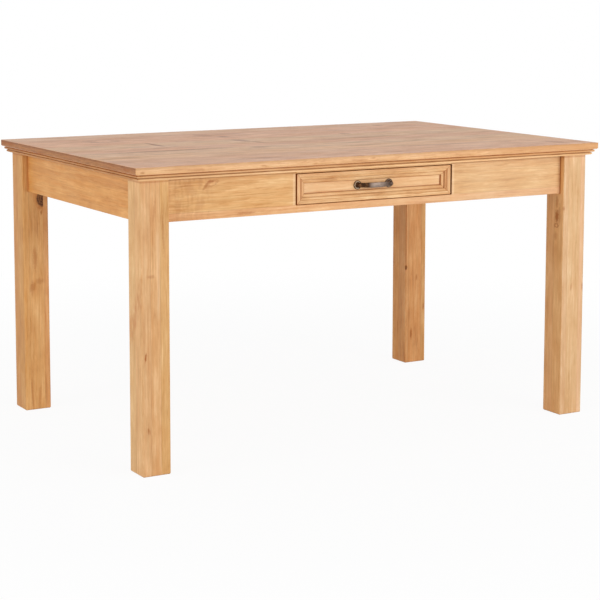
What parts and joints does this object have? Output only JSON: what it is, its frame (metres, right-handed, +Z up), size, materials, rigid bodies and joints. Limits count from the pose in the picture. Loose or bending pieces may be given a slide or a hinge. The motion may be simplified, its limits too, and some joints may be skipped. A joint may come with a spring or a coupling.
{
  "type": "dining table with drawer",
  "caption": "Rectangular pine dining table with square legs, beaded top edge and one sliding apron drawer with a mitred panel front and bow handle.",
  "frame": {"origin": "on the floor under the middle of the top", "axes": "+X along the length of the top, -Y out of the front where the drawer opens, +Z up"},
  "size_m": [1.4, 0.9, 0.76],
  "materials": {
    "pine_top": "satin",
    "pine_moulding": "satin",
    "pine_legs": "satin",
    "pine_aprons": "satin",
    "pine_drawer_front": "satin",
    "pine_raw": "matte",
    "plywood": "matte",
    "aged_bronze": "satin",
    "zinc_steel": "satin"
  },
  "bodies": {
    "table": {"tabletop": "pine_top", "moulding_front": "pine_moulding", "moulding_back": "pine_moulding", "moulding_left": "pine_moulding", "moulding_right": "pine_moulding", "leg_front_left": "pine_legs", "leg_front_right": "pine_legs", "leg_back_left": "pine_legs", "leg_back_right": "pine_legs", "front_apron": "pine_aprons", "back_apron": "pine_aprons", "left_apron": "pine_aprons", "right_apron": "pine_aprons", "corner_block_front_left": "pine_raw", "corner_block_front_right": "pine_raw", "corner_block_back_left": "pine_raw", "corner_block_back_right": "pine_raw", "hanger_bolts": "zinc_steel", "bolt_washers": "zinc_steel", "bolt_nuts": "zinc_steel", "tabletop_buttons": "pine_raw", "top_batten_left": "pine_raw", "top_batten_right": "pine_raw", "drawer_runner_left": "pine_raw", "drawer_runner_right": "pine_raw", "drawer_kicker_left": "pine_raw", "drawer_kicker_right": "pine_raw", "drawer_stops": "pine_raw"},
    "drawer": {"drawer_frame_top": "pine_drawer_front", "drawer_frame_bottom": "pine_drawer_front", "drawer_frame_left": "pine_drawer_front", "drawer_frame_right": "pine_drawer_front", "drawer_panel": "pine_drawer_front", "drawer_box_front": "pine_raw", "drawer_side_left": "pine_raw", "drawer_side_right": "pine_raw", "drawer_back": "pine_raw", "drawer_bottom": "plywood", "drawer_pull_stop": "pine_raw", "handle_rosettes": "aged_bronze", "handle_bow": "aged_bronze", "handle_screws": "zinc_steel"}
  },
  "joints": [
    {"name": "drawer_slide", "type": "slide", "parent": "table", "child": "drawer", "axis": [0, -1, 0], "range_m": [0, 0.327]}
  ]
}
